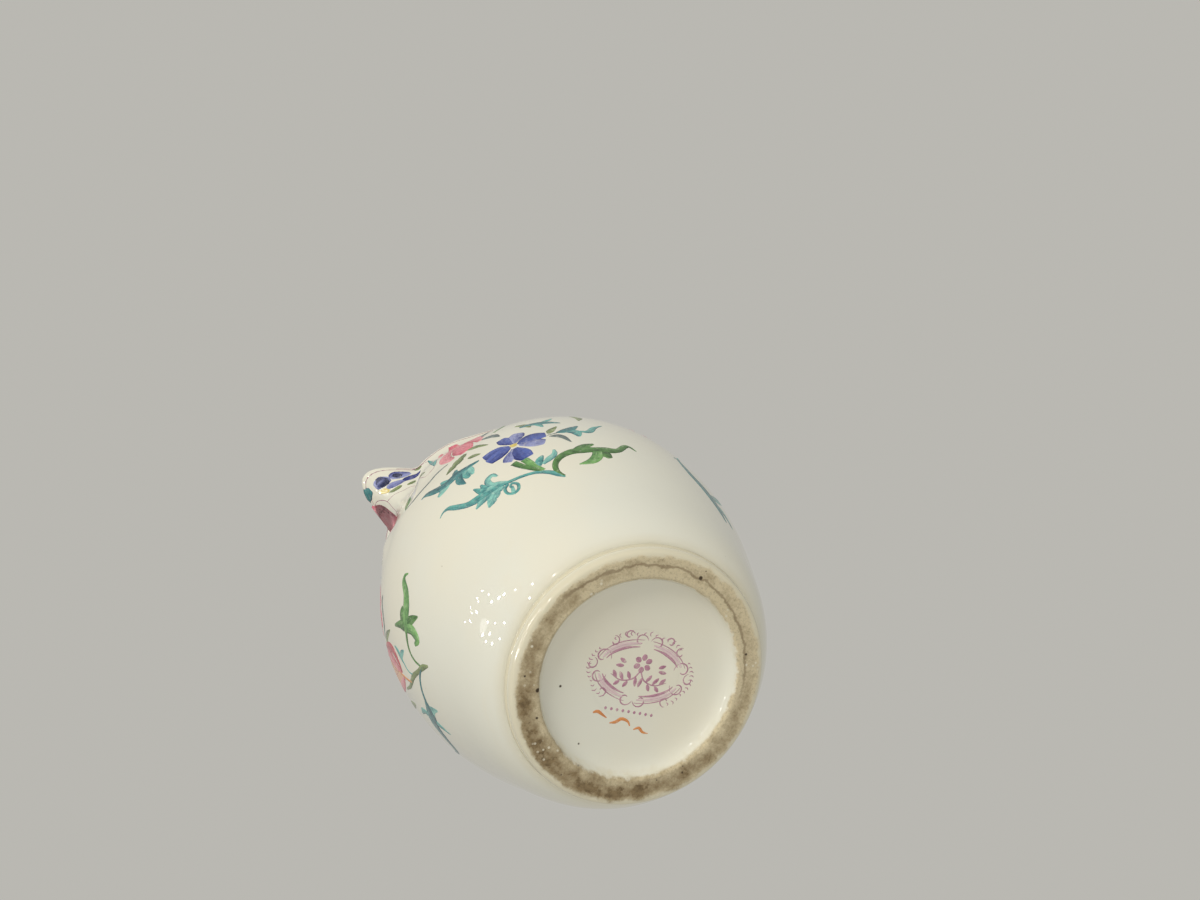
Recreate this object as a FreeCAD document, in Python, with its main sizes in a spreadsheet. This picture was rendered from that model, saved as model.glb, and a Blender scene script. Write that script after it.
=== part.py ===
import FreeCAD, Part
import os
import re

import Sketcher

# Porcelain cream jug, in millimetres.
# +Z is up and the foot ring stands on z = 0, centred on the axis of the round body.
# The pouring lip points along +X and the handle is on the -X side.
# Every sub-part is a piece of clay of its own, joined to the next one with slip.

doc = FreeCAD.newDocument("cream_jug")

# ---------------------------------------------------------------- driving dimensions

DIMENSIONS = [
    # The outer profile of the body: the control points of one spline, foot to rim.
    ("foot_radius", 25.4), ("foot_height", 3.0),
    ("flare_radius", 29.0), ("flare_height", 5.0),
    ("hip_radius", 32.7), ("hip_height", 16.0),
    ("side_radius", 39.2), ("side_height", 34.0),
    ("belly_radius", 41.4), ("belly_height", 52.0),
    ("shoulder_radius", 39.6), ("shoulder_height", 64.0),
    ("neck_radius", 33.4), ("neck_height", 71.5),
    ("rim_radius", 35.4), ("rim_height", 76.0),
    ("wall", 2.2),
    ("floor_height", 6.0),
    ("floor_radius", 19.0),
    ("recess_rise", 0.4),
    # The rim dips between its lobes.
    ("rim_lobes", 6),
    ("dip_depth", 0.5),
    ("dip_arc_radius", 30.0),
    # The foot ring.
    ("ring_inner_radius", 19.5),
    ("ring_face_radius", 24.0),
    ("ring_side_height", 1.6),
    ("cove_radius", 17.6),
    ("ring_edge_radius", 0.6),
    # The pouring lip: plan sections with a parabolic nose, one above the other.
    ("lip_back", 27.0),
    ("lip_nose_radius", 3.3),
    ("channel_nose_radius", 2.3),
    ("lip_wall", 2.1),
    ("lip_start_height", 54.0), ("lip_start_tip", 39.4),
    ("lip_throat_height", 66.0), ("lip_throat_tip", 39.8),
    ("lip_flare_height", 73.0), ("lip_flare_tip", 42.8),
    ("lip_top_height", 80.0), ("lip_top_tip", 48.9),
    ("lip_edge_root", 76.4), ("lip_edge_tip", 79.4),
    # The handle: the control points of its centre line, x measured out from the axis.
    ("grip_start", 39.0), ("grip_top_height", 67.5),
    ("grip_rise", 45.5),
    ("grip_arch", 50.0), ("grip_arch_height", 77.0),
    ("grip_crown", 60.5), ("grip_crown_height", 75.5),
    ("grip_bow", 61.5), ("grip_bow_height", 59.5),
    ("grip_waist", 52.5), ("grip_waist_height", 50.5),
    ("grip_tail", 47.0),
    ("grip_end", 40.9), ("grip_low_height", 39.0),
    ("grip_half_width", 4.2),
    ("grip_half_thickness", 2.8),
    # The slip joints that hold the handle's ends on the body.
    ("joint_spread", 1.3),
    ("joint_bite", 4.0),
]

sheet = doc.addObject("Spreadsheet::Sheet", "dims")
for row, (alias, value) in enumerate(DIMENSIONS, start=1):
    sheet.set(f"A{row}", alias)
    sheet.set(f"B{row}", str(value))
    sheet.setAlias(f"B{row}", alias)
doc.recompute()


def formula(text):
    """A formula whose words are cells of the sheet; a word before a bracket is a function."""
    return re.sub(r"\b[a-z_]+\b(?!\()", lambda word: "dims." + word.group(), str(text))


def value_of(text):
    return float(sheet.evalExpression(formula(text)))


# ---------------------------------------------------------------- sketching helpers

ORIGIN = (-1, 1)
VERTICAL_AXIS = -2
START, END = 1, 2
CENTRE = 3


def at(x, y):
    return FreeCAD.Vector(value_of(x), value_of(y), 0)


def new_body(name):
    body = doc.addObject("PartDesign::Body", name)
    body.Label = name
    return body


def origin_feature(body, role):
    return next(item for item in body.Origin.OriginFeatures if item.Role == role)


def new_sketch(body, role, name, offset=None):
    """A sketch on one of its own body's origin planes; offset is a formula along its normal."""
    sketch = body.newObject("Sketcher::SketchObject", name)
    sketch.AttachmentSupport = [(origin_feature(body, role), "")]
    sketch.MapMode = "FlatFace"
    if offset is not None:
        sketch.setExpression(".AttachmentOffset.Base.z", formula(offset))
    return sketch


def hold(sketch, point, x, y):
    """Fix one point of a sketch at (x, y), both formulas; x may be None to leave it free."""
    if str(x) == "0":
        sketch.addConstraint(Sketcher.Constraint("PointOnObject", *point, VERTICAL_AXIS))
    elif x is not None:
        index = sketch.addConstraint(
            Sketcher.Constraint("DistanceX", *ORIGIN, *point, value_of(x)))
        sketch.setExpression(f"Constraints[{index}]", formula(x))
    index = sketch.addConstraint(Sketcher.Constraint("DistanceY", *ORIGIN, *point, value_of(y)))
    sketch.setExpression(f"Constraints[{index}]", formula(y))


def join(sketch, first, second):
    sketch.addConstraint(Sketcher.Constraint("Coincident", *first, *second))


def add_line(sketch, start, end):
    return sketch.addGeometry(Part.LineSegment(at(*start), at(*end)), False)


def add_spline(sketch, poles, degree=3):
    """A clamped spline whose control points are all held by formulas."""
    curve = Part.BSplineCurve()
    curve.buildFromPoles([at(*pole) for pole in poles], False, degree)
    spline = sketch.addGeometry(curve, False)
    sketch.exposeInternalGeometry(spline)
    for number, pole in enumerate(poles):
        hold(sketch, (spline + 1 + number, CENTRE), *pole)
    return spline


def add_outline(sketch, points):
    """A closed outline of straight lines through held points."""
    lines = [add_line(sketch, point, points[(number + 1) % len(points)])
             for number, point in enumerate(points)]
    for number, line in enumerate(lines):
        join(sketch, (line, END), (lines[(number + 1) % len(lines)], START))
        hold(sketch, (line, START), *points[number])
    return lines


def add_oval(sketch, centre_height, half_width, half_height):
    """An ellipse on the sketch's vertical axis, wider than it is high."""
    centre = at(0, centre_height)
    side = at(half_width, centre_height)
    top = at(0, f"{centre_height} + {half_height}")
    oval = sketch.addGeometry(Part.Ellipse(side, top, centre), False)
    sketch.exposeInternalGeometry(oval)
    hold(sketch, (oval, CENTRE), 0, centre_height)
    hold(sketch, (oval + 1, START), half_width, centre_height)
    hold(sketch, (oval + 2, START), None, f"{centre_height} + {half_height}")
    return oval


def revolve(body, sketch, name):
    turned = body.newObject("PartDesign::Revolution", name)
    turned.Profile = sketch
    turned.ReferenceAxis = (sketch, ["V_Axis"])
    turned.Angle = 360.0
    return turned


def loft(body, sketches, kind, name):
    solid = body.newObject("PartDesign::" + kind, name)
    solid.Profile = sketches[0]
    solid.Sections = sketches[1:]
    return solid


# ---------------------------------------------------------------- the round body

PROFILE = ["foot", "flare", "hip", "side", "belly", "shoulder", "neck", "rim"]
OUTER_POLES = [(f"{place}_radius", f"{place}_height") for place in PROFILE]
INNER_POLES = [("floor_radius", "floor_height"), ("flare_radius - wall", "floor_height")]
INNER_POLES += [(f"{place}_radius - wall", f"{place}_height") for place in PROFILE[2:]]


def make_form():
    """The solid outer form of the jug, which cuts the pieces that are luted on to it."""
    body = new_body("outer_form")
    sketch = new_sketch(body, "XZ_Plane", "form_profile")
    corners = [OUTER_POLES[-1], ("rim_radius", "lip_top_height"), (0, "lip_top_height"),
               (0, "foot_height"), OUTER_POLES[0]]
    outline = [add_spline(sketch, OUTER_POLES)]
    outline += [add_line(sketch, start, end) for start, end in zip(corners, corners[1:])]
    for corner, line in zip(corners[1:-1], outline[1:]):
        hold(sketch, (line, END), *corner)
    for first, second in zip(outline, outline[1:] + outline[:1]):
        join(sketch, (first, END), (second, START))
    revolve(body, sketch, "form_turned")
    return body


def lip_section(body, name, place, tip_inset, nose_radius):
    """A plan section: a parabola with its tip at the front, closed across the back."""
    tip = f"lip_{place}_tip - {tip_inset}"
    half_width = f"sqrt(2 * {nose_radius} * ({tip} - lip_back))"
    sketch = new_sketch(body, "XY_Plane", name, f"lip_{place}_height")
    poles = [("lip_back", f"0 - {half_width}"),
             (f"2 * ({tip}) - lip_back", 0),
             ("lip_back", half_width)]
    nose = add_spline(sketch, poles, degree=2)
    back = add_line(sketch, poles[2], poles[0])
    join(sketch, (nose, END), (back, START))
    join(sketch, (back, END), (nose, START))
    return sketch


LIP_PLACES = ["start", "throat", "flare", "top"]


def channel(body):
    """The hollow of the pouring lip, which opens into the jug below the rim."""
    sections = [lip_section(body, f"channel_{place}", place, "lip_wall", "channel_nose_radius")
                for place in LIP_PLACES]
    return loft(body, sections, "SubtractiveLoft", "channel_hollow")


def make_body():
    body = new_body("body")
    sketch = new_sketch(body, "XZ_Plane", "wall_profile")
    outer = add_spline(sketch, OUTER_POLES)
    inner = add_spline(sketch, INNER_POLES)
    lip_middle = at("rim_radius - wall / 2", "rim_height")
    lip_radius = value_of("wall / 2")
    rounding = Part.ArcOfCircle(
        Part.Circle(lip_middle, FreeCAD.Vector(0, 0, 1), lip_radius), 0, 3.14159265)
    lip = sketch.addGeometry(rounding, False)
    join(sketch, (outer, END), (lip, START))
    join(sketch, (lip, END), (inner, END))
    hold(sketch, (lip, CENTRE), None, "rim_height")
    floor = add_line(sketch, INNER_POLES[0], (0, "floor_height"))
    axis = add_line(sketch, (0, "floor_height"), (0, "foot_height + recess_rise"))
    dome = add_line(sketch, (0, "foot_height + recess_rise"), ("cove_radius", "foot_height"))
    seat = add_line(sketch, ("cove_radius", "foot_height"), OUTER_POLES[0])
    join(sketch, (inner, START), (floor, START))
    join(sketch, (floor, END), (axis, START))
    join(sketch, (axis, END), (dome, START))
    join(sketch, (dome, END), (seat, START))
    join(sketch, (seat, END), (outer, START))
    hold(sketch, (floor, END), 0, "floor_height")
    hold(sketch, (axis, END), 0, "foot_height + recess_rise")
    hold(sketch, (dome, END), "cove_radius", "foot_height")
    revolve(body, sketch, "wall_turned")
    doc.recompute()

    dip = new_sketch(body, "YZ_Plane", "dip_outline")
    dip_height = "rim_height + wall / 2 + dip_arc_radius - dip_depth"
    circle = dip.addGeometry(Part.Circle(at(0, dip_height), FreeCAD.Vector(0, 0, 1),
                                         value_of("dip_arc_radius")), False)
    hold(dip, (circle, CENTRE), 0, dip_height)
    index = dip.addConstraint(Sketcher.Constraint("Radius", circle, value_of("dip_arc_radius")))
    dip.setExpression(f"Constraints[{index}]", formula("dip_arc_radius"))
    cut = body.newObject("PartDesign::Pocket", "rim_dip")
    cut.Profile = dip
    cut.Reversed = True
    cut.setExpression("Length", formula("rim_radius + wall"))
    doc.recompute()
    dips = body.newObject("PartDesign::PolarPattern", "rim_dips")
    dips.Originals = [cut]
    dips.Axis = (origin_feature(body, "Z_Axis"), [""])
    dips.Angle = 360.0
    dips.setExpression("Occurrences", formula("rim_lobes"))
    body.Tip = dips
    doc.recompute()

    channel(body)
    return body


# ---------------------------------------------------------------- the foot ring

def make_foot_ring():
    """A low turned ring with a coved inside, under the body."""
    body = new_body("foot_ring")
    sketch = new_sketch(body, "XZ_Plane", "ring_section")
    add_outline(sketch, [
        ("ring_inner_radius", 0),
        ("ring_face_radius", 0),
        ("foot_radius", "ring_side_height"),
        ("foot_radius", "foot_height"),
        ("cove_radius", "foot_height"),
    ])
    turned = revolve(body, sketch, "ring_turned")
    doc.recompute()
    corners = []
    for number, edge in enumerate(turned.Shape.Edges, start=1):
        box = edge.BoundBox
        round_edge = isinstance(edge.Curve, Part.Circle)
        if round_edge and box.ZMax < value_of("ring_side_height") / 2:
            corners.append(f"Edge{number}")
    rounded = body.newObject("PartDesign::Fillet", "ring_rounding")
    rounded.Base = (turned, corners)
    rounded.setExpression("Radius", formula("ring_edge_radius"))
    return body


# ---------------------------------------------------------------- the pouring lip

def make_pouring_lip(form):
    """A trough that stands on the outside of the body and carries the stream forward."""
    body = new_body("lip_blank")
    sections = [lip_section(body, f"lip_{place}", place, "0", "lip_nose_radius")
                for place in LIP_PLACES]
    loft(body, sections, "AdditiveLoft", "lip_outside")
    doc.recompute()
    channel(body)
    doc.recompute()
    sketch = new_sketch(body, "XZ_Plane", "lip_edge")
    add_outline(sketch, [
        ("lip_back - lip_wall", "lip_edge_root"),
        ("lip_top_tip + lip_wall", "lip_edge_tip"),
        ("lip_top_tip + lip_wall", "lip_top_height + lip_wall"),
        ("lip_back - lip_wall", "lip_top_height + lip_wall"),
    ])
    edge = body.newObject("PartDesign::Pocket", "lip_edge_cut")
    edge.Profile = sketch
    edge.Midplane = True
    edge.setExpression("Length", formula("4 * lip_back"))
    doc.recompute()
    return cut_by_form("pouring_lip", body, form)


def cut_by_form(name, blank, form):
    piece = doc.addObject("Part::Cut", name)
    piece.Label = name
    piece.Base = blank
    piece.Tool = form
    piece.Refine = False
    return piece


# ---------------------------------------------------------------- the handle

CENTRE_LINE = [
    ("grip_start", "grip_top_height"),
    ("grip_rise", "grip_top_height"),
    ("grip_arch", "grip_arch_height"),
    ("grip_crown", "grip_crown_height"),
    ("grip_bow", "grip_bow_height"),
    ("grip_waist", "grip_waist_height"),
    ("grip_tail", "grip_low_height"),
    ("grip_end", "grip_low_height"),
]


def make_handle():
    """A bowed strap of oval section; both ends are square to the body's axis."""
    body = new_body("handle")
    path = new_sketch(body, "XZ_Plane", "grip_path")
    add_spline(path, [(f"0 - {x}", z) for x, z in CENTRE_LINE])
    section = new_sketch(body, "YZ_Plane", "grip_section", "0 - grip_start")
    add_oval(section, "grip_top_height", "grip_half_width", "grip_half_thickness")
    doc.recompute()
    strap = body.newObject("PartDesign::AdditivePipe", "grip_strap")
    strap.Profile = section
    strap.Spine = (path, ["Edge1"])
    return body


def make_joint(name, plane_at, height, form):
    """A collar of slip: it spreads from the handle's end face on to the body."""
    body = new_body(name + "_blank")
    narrow = new_sketch(body, "YZ_Plane", name + "_narrow", f"0 - {plane_at}")
    add_oval(narrow, height, "grip_half_width", "grip_half_thickness")
    wide = new_sketch(body, "YZ_Plane", name + "_wide", f"joint_bite - {plane_at}")
    add_oval(wide, height, "grip_half_width + 2 * joint_spread",
             "grip_half_thickness + 2 * joint_spread")
    loft(body, [narrow, wide], "AdditiveLoft", name + "_collar")
    doc.recompute()
    return cut_by_form(name, body, form)


# ---------------------------------------------------------------- build, check and write

outer_form = make_form()
nodes = [
    make_body(),
    make_foot_ring(),
    make_pouring_lip(outer_form),
    make_handle(),
    make_joint("handle_upper_joint", "grip_start", "grip_top_height", outer_form),
    make_joint("handle_lower_joint", "grip_end", "grip_low_height", outer_form),
]
doc.recompute()

for item in doc.Objects:
    if "Invalid" in item.State or "Error" in item.State:
        raise RuntimeError(f"{item.Name} did not compute: {item.State}")
for node in nodes:
    if node.Shape.isNull() or not node.Shape.isValid():
        raise RuntimeError(f"{node.Label} has no valid shape")

os.makedirs("parts", exist_ok=True)
for node in nodes:
    node.Shape.exportStep(f"parts/{node.Label}.step")
    box = node.Shape.optimalBoundingBox()
    print(f"{node.Label}: {len(node.Shape.Solids)} solid, {node.Shape.Volume:.0f} mm3,",
          f"x {box.XMin:.1f} {box.XMax:.1f}, y {box.YMin:.1f} {box.YMax:.1f},",
          f"z {box.ZMin:.1f} {box.ZMax:.1f}")
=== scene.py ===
import math

import bpy
import numpy as np
from mathutils import Matrix, Vector


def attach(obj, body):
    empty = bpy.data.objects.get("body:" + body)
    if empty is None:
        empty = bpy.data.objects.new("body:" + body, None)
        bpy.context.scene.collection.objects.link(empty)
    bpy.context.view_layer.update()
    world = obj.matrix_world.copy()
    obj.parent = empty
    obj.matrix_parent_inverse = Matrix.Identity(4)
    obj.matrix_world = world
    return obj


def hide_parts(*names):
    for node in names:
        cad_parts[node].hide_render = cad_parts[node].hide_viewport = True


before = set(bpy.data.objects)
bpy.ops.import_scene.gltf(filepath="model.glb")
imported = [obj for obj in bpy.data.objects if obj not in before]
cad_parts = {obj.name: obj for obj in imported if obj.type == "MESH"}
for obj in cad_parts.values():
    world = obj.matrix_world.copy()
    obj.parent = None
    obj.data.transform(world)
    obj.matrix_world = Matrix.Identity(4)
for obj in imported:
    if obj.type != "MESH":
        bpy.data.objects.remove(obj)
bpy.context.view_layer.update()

# Porcelain cream jug with flower sprays in enamel, as it is seen from under its foot.
# Shapes are worked out in millimetres in the row frame and made into metres in new_mesh().
# The jug's outer surface is radius(turn, z), with turn in radians round the jug from its
# pouring lip. The painting is laid out on a flat sheet: degrees round the jug, and height.

MM = 0.001
WALL = 2.15
FOOT_HEIGHT = 3.0
RIM_HEIGHT = 77.1
SHEET_MM_PER_DEGREE = 0.698     # the sheet is a cylinder of 40 mm radius, unrolled
RNG = np.random.default_rng(11)


# ---------------- curves

def bspline(poles, count):
    """Points on a clamped cubic spline."""
    poles = np.asarray(poles, float)
    knots = np.concatenate([[0.0] * 3, np.linspace(0, 1, len(poles) - 2), [1.0] * 3])
    t = np.minimum(np.linspace(0, 1, count), 1 - 1e-9)[:, None]
    basis = ((t >= knots[:-1]) & (t < knots[1:])).astype(float)
    for degree in (1, 2, 3):
        before = knots[degree:-1] - knots[:-degree - 1]
        after = knots[degree + 1:] - knots[1:-degree]
        rise = (t - knots[:-degree - 1]) / np.where(before > 0, before, np.inf)
        fall = (knots[degree + 1:] - t) / np.where(after > 0, after, np.inf)
        basis = rise * basis[:, :-1] + fall * basis[:, 1:]
    return basis @ poles


def through(points, count):
    """Points on a smooth curve through the given ones."""
    points = np.asarray(points, float)
    spans = len(points) - 1
    padded = np.vstack([2 * points[0] - points[1], points, 2 * points[-1] - points[-2]])
    t = np.linspace(0, spans, count)
    i = np.minimum(t.astype(int), spans - 1)
    f = (t - i)[:, None]
    a, b, c, d = (padded[i + k] for k in range(4))
    return 0.5 * (2 * b + (c - a) * f + (2 * a - 5 * b + 4 * c - d) * f ** 2
                  + (3 * b - 3 * c + d - a) * f ** 3)


def ease(value, low, high):
    """0 below low, 1 above high and smooth in between."""
    w = np.clip((value - low) / (high - low), 0, 1)
    return w * w * (3 - 2 * w)


# ---------------- the jug's outer surface

# The body's profile as (radius, z), and how far forward the lip's edge is as (z, x).
PROFILE = bspline([(25.4, 3), (29, 5), (32.7, 16), (39.2, 34), (41.4, 52), (39.6, 64),
                   (33.4, 71.5), (35.4, 76)], 1600)
LIP_TIP = through([(10, 5), (35, 20), (50, 36), (57, 38.6), (62, 39.2), (66, 39.7), (70, 40.8),
                   (74, 43.1), (76, 45.0), (77.6, 47.2), (80, 50.0)], 400)
RIM_LOBES = 6
RIM_LOBE_DEPTH = 0.35
LIP_NOSE = 3.1                  # how blunt the lip is: the radius of its tip in plan
LIP_TWIST = math.radians(0.2)
LIP_BLEND = 2.2                 # how softly the lip grows out of the body
LIP_RISE = 1.6


def wrapped(turn):
    return np.angle(np.exp(1j * np.asarray(turn, float)))


def hump(degrees, middle, spread):
    """1 in the middle, and almost 0 at twice the spread from it."""
    return np.exp(-((degrees - middle) / spread) ** 2)


def radius(turn, z):
    """The outer radius, millimetres: a round body, its lobed rim and the pouring lip."""
    turn = wrapped(turn)
    degrees = np.degrees(np.abs(turn))
    lobes = RIM_LOBE_DEPTH * ease(z, 64, 76) * np.cos(RIM_LOBES * turn)
    shoulders = np.where(turn > 0, 2.3, 1.4) * hump(degrees, 21, 12) * ease(z, 56, 71)
    throat = 1.4 * hump(degrees, 13, 6) * ease(z, 54, 67)
    lean = 0.7 * ease(z, 56, 76) * np.sin(turn)
    body = np.interp(z, PROFILE[:, 1], PROFILE[:, 0]) - lobes + shoulders + throat + lean

    # The lip is a parabola in plan, with its point at the tip and the jug's axis inside it.
    lip_turn = turn - LIP_TWIST * ease(z, 58, 76)
    ahead = np.cos(lip_turn)
    c = np.maximum(ahead, 0)
    s2 = np.where(ahead > 0, np.maximum(np.sin(lip_turn) ** 2, 1e-9), 1.0)
    nose = LIP_NOSE + 0.3 * np.where(turn > 0, 1.0, -1.0) * c
    tip = np.interp(z, LIP_TIP[:, 0], LIP_TIP[:, 1])
    lip = (-nose * c + np.sqrt(nose ** 2 * c * c + 2 * nose * tip * s2)) / s2
    lip = np.where((s2 < 1e-8) & (ahead > 0), tip, lip)
    return 0.5 * (body + lip + np.sqrt((body - lip) ** 2 + LIP_BLEND ** 2))


def rim_height(turn):
    return RIM_HEIGHT + LIP_RISE * hump(np.degrees(np.abs(wrapped(turn))), 0, 9)


def surface(turn, z):
    r = radius(turn, z)
    return np.stack([r * np.cos(turn), r * np.sin(turn), z + 0 * r], -1)


def surface_normal(turn, z):
    z = np.maximum(z, FOOT_HEIGHT + 0.06)
    around = surface(turn + 1e-3, z) - surface(turn - 1e-3, z)
    up = surface(turn, z + 0.05) - surface(turn, z - 0.05)
    normal = np.cross(around, up)
    return normal / np.linalg.norm(normal, axis=-1, keepdims=True)


# ---------------- meshes

def new_object(name, data):
    made = bpy.data.objects.new(name, data)
    bpy.context.scene.collection.objects.link(made)
    return made


def new_mesh(name, points, faces, material, fields=None):
    """A smooth-shaded object; points in millimetres, fields are named per-vertex numbers."""
    mesh = bpy.data.meshes.new(name)
    mesh.from_pydata((np.asarray(points) * MM).tolist(), [], faces)
    for field, values in (fields or {}).items():
        values = np.asarray(values, np.float32)
        kind, slot = ("FLOAT_VECTOR", "vector") if values.ndim == 2 else ("FLOAT", "value")
        mesh.attributes.new(field, kind, "POINT").data.foreach_set(slot, values.ravel())
    mesh.polygons.foreach_set("use_smooth", [True] * len(mesh.polygons))
    mesh.materials.append(material)
    mesh.validate()
    mesh.update()
    piece = new_object(name, mesh)
    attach(piece, "root")
    return piece


def grid_faces(rows, columns, closed_columns=True, first=0):
    """Quads between neighbouring rows; the columns run round and close on themselves."""
    faces = []
    for j in range(rows - 1):
        for i in range(columns if closed_columns else columns - 1):
            k = (i + 1) % columns
            faces.append((first + j * columns + i, first + j * columns + k,
                          first + (j + 1) * columns + k, first + (j + 1) * columns + i))
    return faces


def turned_rows(path, turns):
    """Rows of points: a (radius, z) path carried round the axis."""
    path = np.asarray(path, float)
    r, z = path[:, 0][:, None], path[:, 1][:, None]
    return np.stack([r * np.cos(turns), r * np.sin(turns), z + 0 * turns], -1)


def closed_shell(name, rows, first_z, last_z, material):
    """Rows of points round the axis, closed at both ends by a fan to a point on the axis."""
    columns = rows.shape[1]
    points = rows.reshape(-1, 3).tolist() + [(0, 0, first_z), (0, 0, last_z)]
    faces = grid_faces(len(rows), columns)
    last = (len(rows) - 1) * columns
    for i in range(columns):
        k = (i + 1) % columns
        faces.append((len(points) - 2, k, i))
        faces.append((last + i, last + k, len(points) - 1))
    return new_mesh(name, points, faces, material)


# ---------------- materials

class Value:
    """A number inside a material. Ordinary signs between values add math nodes."""

    def __init__(self, paint, socket):
        self.paint = paint
        self.socket = socket

    def __add__(self, other):
        return self.paint.math("ADD", self, other)

    def __sub__(self, other):
        return self.paint.math("SUBTRACT", self, other)

    def __mul__(self, other):
        return self.paint.math("MULTIPLY", self, other)

    def __abs__(self):
        return self.paint.math("ABSOLUTE", self)

    def ease(self, low, high):
        """0 at low, 1 at high and smooth in between; low may be the larger one."""
        made = self.paint.node("ShaderNodeMapRange", interpolation_type="SMOOTHSTEP")
        for socket, number in zip(made.inputs, (self, low, high, 0.0, 1.0)):
            self.paint.link(number, socket)
        return Value(self.paint, made.outputs[0])

    def clamped(self):
        """Holds the result of the last sign between 0 and 1."""
        self.socket.node.use_clamp = True
        return self


class Paint:
    """The node tree of one material, made with short calls."""

    def __init__(self, name, **values):
        self.material = bpy.data.materials.new(name)
        self.material.use_nodes = True
        self.tree = self.material.node_tree
        self.shader = self.tree.nodes["Principled BSDF"]
        for socket, value in values.items():
            self.shader.inputs[socket.replace("_", " ")].default_value = value
        self.place = self.node("ShaderNodeTexCoord").outputs["Object"]

    def node(self, kind, **settings):
        made = self.tree.nodes.new(kind)
        for setting, value in settings.items():
            setattr(made, setting, value)
        return made

    def link(self, value, socket):
        value = value.socket if isinstance(value, Value) else value
        if isinstance(value, bpy.types.NodeSocket):
            self.tree.links.new(value, socket)
        else:
            socket.default_value = value

    def math(self, operation, *values):
        made = self.node("ShaderNodeMath", operation=operation)
        for socket, value in zip(made.inputs, values):
            self.link(value, socket)
        return Value(self, made.outputs[0])

    def mix(self, factor, first, second):
        made = self.node("ShaderNodeMix", data_type="RGBA")
        for index, value in ((0, factor), (6, first), (7, second)):
            self.link(value, made.inputs[index])
        return made.outputs[2]

    def millimetres(self):
        """The place on the jug, as x, y and z."""
        parts = self.node("ShaderNodeSeparateXYZ")
        self.link(self.place, parts.inputs[0])
        return [Value(self, parts.outputs[k]) * (1 / MM) for k in range(3)]

    def combined(self, *values):
        made = self.node("ShaderNodeCombineXYZ")
        for socket, value in zip(made.inputs, values):
            self.link(value, socket)
        return made.outputs[0]

    def field(self, name, output="Fac"):
        return Value(self, self.node("ShaderNodeAttribute", attribute_name=name).outputs[output])

    def noise(self, size, detail=2.0, roughness=0.5, vector=None, distortion=0.0):
        """Noise with features of a size in millimetres, or in the units of the vector."""
        made = self.node("ShaderNodeTexNoise")
        scale = 1 / size if vector else 1 / (size * MM)
        for socket, value in (("Vector", vector or self.place), ("Scale", scale), ("Detail", detail),
                              ("Roughness", roughness), ("Distortion", distortion)):
            self.link(value, made.inputs[socket])
        return Value(self, made.outputs["Fac"])

    def specks(self, spacing_mm, reach):
        """1 in small round spots about spacing_mm apart, else 0."""
        made = self.node("ShaderNodeTexVoronoi")
        self.link(self.place, made.inputs["Vector"])
        made.inputs["Scale"].default_value = 1 / (spacing_mm * MM)
        return Value(self, made.outputs["Distance"]).ease(reach, reach * 0.55)

    def bump(self, height, depth_mm):
        made = self.node("ShaderNodeBump")
        made.inputs["Distance"].default_value = depth_mm * MM
        self.link(height, made.inputs["Height"])
        self.link(made.outputs[0], self.shader.inputs["Normal"])

    def done(self, colour, roughness=None):
        self.link(colour, self.shader.inputs["Base Color"])
        if roughness is not None:
            self.link(roughness, self.shader.inputs["Roughness"])
        return self.material


CREAM = (0.795, 0.765, 0.645, 1)
CREAM_COOL = (0.775, 0.77, 0.68, 1)
CREAM_WARM = (0.80, 0.735, 0.57, 1)
POOLED = (0.68, 0.61, 0.42, 1)
IRON_SPECK = (0.25, 0.18, 0.11, 1)
BARE_CLAY = (0.66, 0.57, 0.385, 1)
DIRT = (0.27, 0.195, 0.10, 1)
DEEP_DIRT = (0.12, 0.078, 0.036, 1)
GRAIN = (0.16, 0.12, 0.07, 1)
SOOT = (0.05, 0.03, 0.02, 1)
WORN_LINE = (0.20, 0.14, 0.075, 1)
GRIT = (0.70, 0.65, 0.52, 1)
SPOT = (0.06, 0.04, 0.022, 1)
# Dark spots in the foot's glaze and dirt, as x, y and diameter.
SPOTS = ((12.5, -7.9, 0.5), (-0.2, 21.9, 0.8), (17.4, -9.6, 0.8), (3.5, -16.2, 0.35),
         (14.9, -14.2, 0.5), (-16.8, 13.1, 0.5), (21.0, -8.2, 0.45))


def glaze_colour(paint):
    """Cream glaze: faint clouds, a warmer tone in patches, and a few iron specks."""
    colour = paint.mix(paint.noise(34, 3.0).ease(0.35, 0.68), CREAM, CREAM_COOL)
    smudge = paint.noise(15, 4.0, 0.6, distortion=0.6).ease(0.60, 0.78)
    colour = paint.mix(smudge * 0.22, colour, CREAM_WARM)
    rare = paint.noise(7.0, 1.0).ease(0.63, 0.66)
    return paint.mix(paint.specks(2.6, 0.075) * rare * 0.55, colour, IRON_SPECK)


def make_glaze():
    """Clear gloss glaze over cream porcelain, pooled a little where the foot begins."""
    paint = Paint("glazed_porcelain", IOR=1.5, Coat_Weight=0.3, Coat_Roughness=0.02)
    z = paint.millimetres()[2]
    pool = z.ease(4.6, 2.9) * paint.noise(9, 3.0)
    colour = paint.mix(pool * 0.55, glaze_colour(paint), POOLED)
    paint.bump(paint.noise(13, 1.0) + paint.noise(3.2, 2.0) * 0.16, 0.08)
    return paint.done(colour, paint.noise(6, 3.0) * 0.04 + 0.015)


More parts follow.
